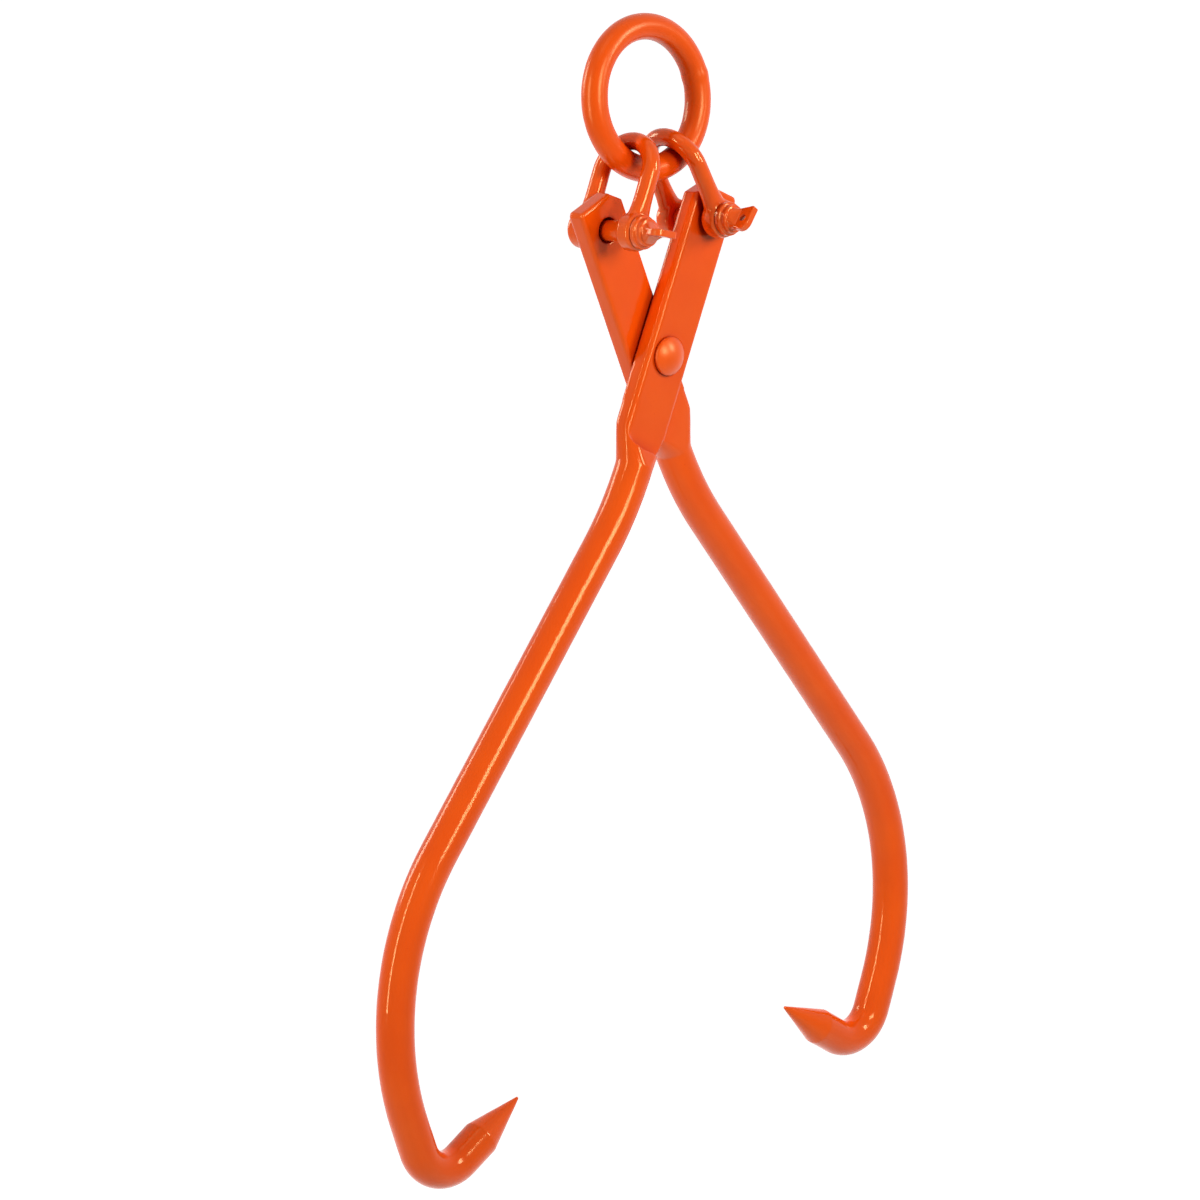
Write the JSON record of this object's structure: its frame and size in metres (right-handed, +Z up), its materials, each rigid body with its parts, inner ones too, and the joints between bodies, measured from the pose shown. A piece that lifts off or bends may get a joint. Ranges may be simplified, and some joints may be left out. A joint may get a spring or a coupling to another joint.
{
  "type": "lifting tongs",
  "caption": "Scissor lifting tongs: curved pointed arms cross at a rivet and hang by screw pin bow shackles from a round lifting ring.",
  "frame": {"origin": "on the hanging line, in the middle of the lifting ring's eye and in the plane where the arms meet", "axes": "+Z up along the hanging line, +X across the jaws to the back arm's claw, -Y to the front, where the pins' tabs are"},
  "size_m": [0.4598, 0.0724, 0.6501],
  "materials": {
    "orange_paint": "gloss enamel"
  },
  "bodies": {
    "ring": {"lifting_ring": "orange_paint"},
    "left_shackle": {"left_shackle": "orange_paint"},
    "left_pin": {"left_screw_pin": "orange_paint"},
    "back_arm": {"back_arm": "orange_paint", "pivot_rivet": "orange_paint"},
    "front_arm": {"front_arm": "orange_paint"},
    "right_shackle": {"right_shackle": "orange_paint"},
    "right_pin": {"right_screw_pin": "orange_paint"}
  },
  "joints": [
    {"name": "arm_pivot", "type": "hinge", "parent": "back_arm", "child": "front_arm", "pos_m": [0, 0, -0.14688], "axis": [0, 1, 0], "range_deg": [-20, 30]},
    {"name": "left_shackle_swing", "type": "hinge", "parent": "ring", "child": "left_shackle", "pos_m": [-0.01327, 0, -0.02346], "axis": [0, 1, 0], "range_deg": [-16.05, 23.93]},
    {"name": "back_arm_swing", "type": "hinge", "parent": "left_shackle", "child": "back_arm", "pos_m": [-0.03608, 0, -0.07209], "axis": [0, 1, 0], "range_deg": [-38.92, 26.05]},
    {"name": "right_shackle_swing", "type": "hinge", "parent": "front_arm", "child": "right_shackle", "pos_m": [0.03608, 0, -0.07209], "axis": [0, 1, 0], "range_deg": [-38.92, 26.05]},
    {"name": "left_pin_turn", "type": "hinge", "parent": "left_shackle", "child": "left_pin", "pos_m": [-0.03608, -0.00089, -0.07209], "axis": [-0.0237, 0.9984, -0.0505], "continuous": true},
    {"name": "right_pin_turn", "type": "hinge", "parent": "right_shackle", "child": "right_pin", "pos_m": [0.03608, -0.00012, -0.07209], "axis": [0.0371, 0.9962, -0.0789], "continuous": true}
  ],
  "couplings": [
    {"joint": "left_shackle_swing", "follows": "arm_pivot", "ratio": 0.7875},
    {"joint": "back_arm_swing", "follows": "arm_pivot", "ratio": -1.2875},
    {"joint": "right_shackle_swing", "follows": "arm_pivot", "ratio": -1.2875}
  ]
}
